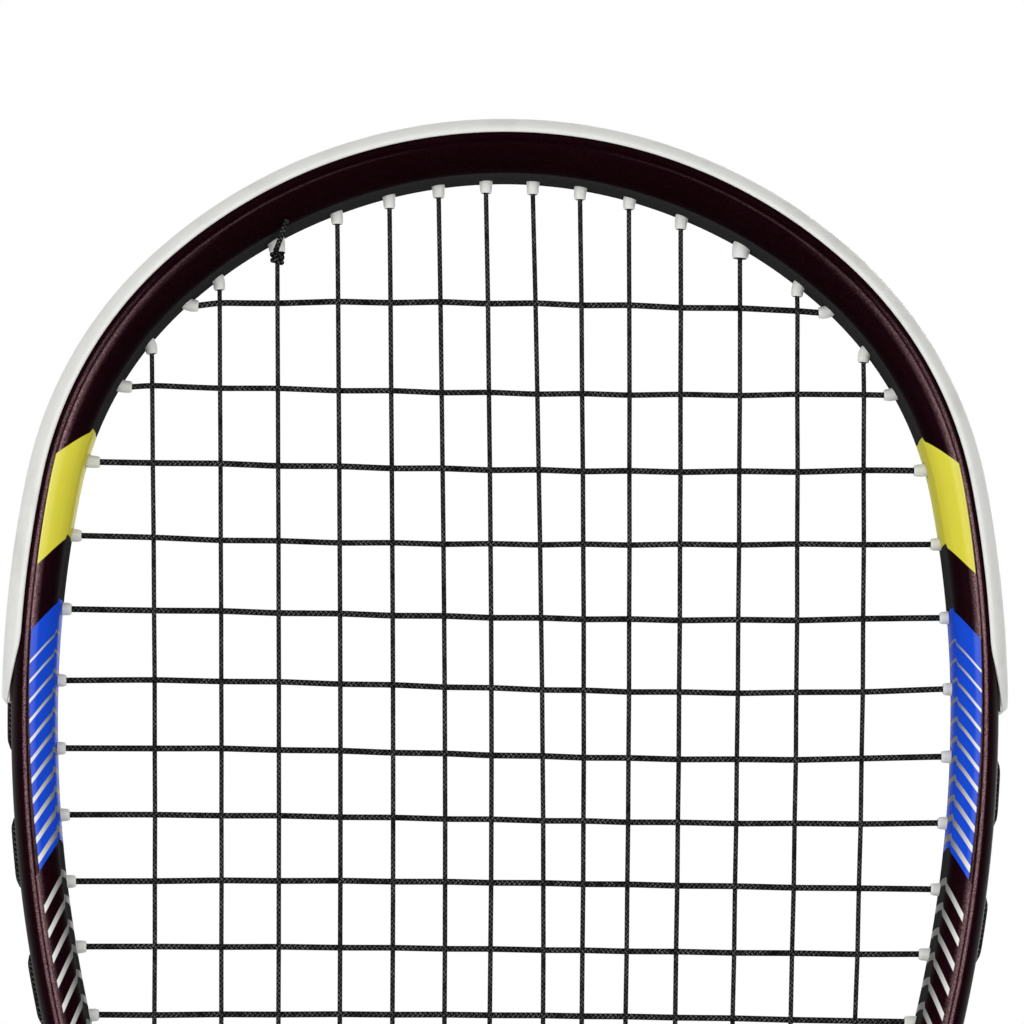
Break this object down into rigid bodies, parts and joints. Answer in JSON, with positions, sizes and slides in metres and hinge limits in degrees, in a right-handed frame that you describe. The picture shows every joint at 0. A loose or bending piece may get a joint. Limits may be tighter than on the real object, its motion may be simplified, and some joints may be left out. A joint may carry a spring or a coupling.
{
  "type": "squash racket",
  "caption": "Squash racket with a teardrop hoop, woven string bed, white bumper and grommets, a taped octagonal grip and a rubber collar that slides up the shaft.",
  "frame": {"origin": "centre of the flat butt face", "axes": "+Z along the shaft towards the crown, +X to the right across the string plane, front of the strings towards -Y"},
  "size_m": [0.2094, 0.039, 0.686],
  "materials": {
    "hoop_lacquer": "gloss",
    "white_nylon": "satin",
    "black_string": "satin",
    "core_foam": "matte",
    "butt_plastic": "satin",
    "staple_steel": "satin",
    "grip_tape": "matte",
    "finishing_tape": "satin",
    "collar_rubber": "matte"
  },
  "bodies": {
    "racket": {"frame": "hoop_lacquer", "bumper_guard": "white_nylon", "side_strip_left": "white_nylon", "side_strip_right": "white_nylon", "throat_strip_left": "white_nylon", "throat_strip_right": "white_nylon", "main_string": "black_string", "cross_string": "black_string", "tie_off_knots": "black_string", "handle_core": "core_foam", "butt_cap": "butt_plastic", "butt_cap_staples": "staple_steel", "grip_tape": "grip_tape", "finishing_tape": "finishing_tape"},
    "collar": {"collar": "collar_rubber"}
  },
  "joints": [
    {"name": "collar_slide", "type": "slide", "parent": "racket", "child": "collar", "axis": [0, 0, 1], "range_m": [0, 0.06]}
  ]
}
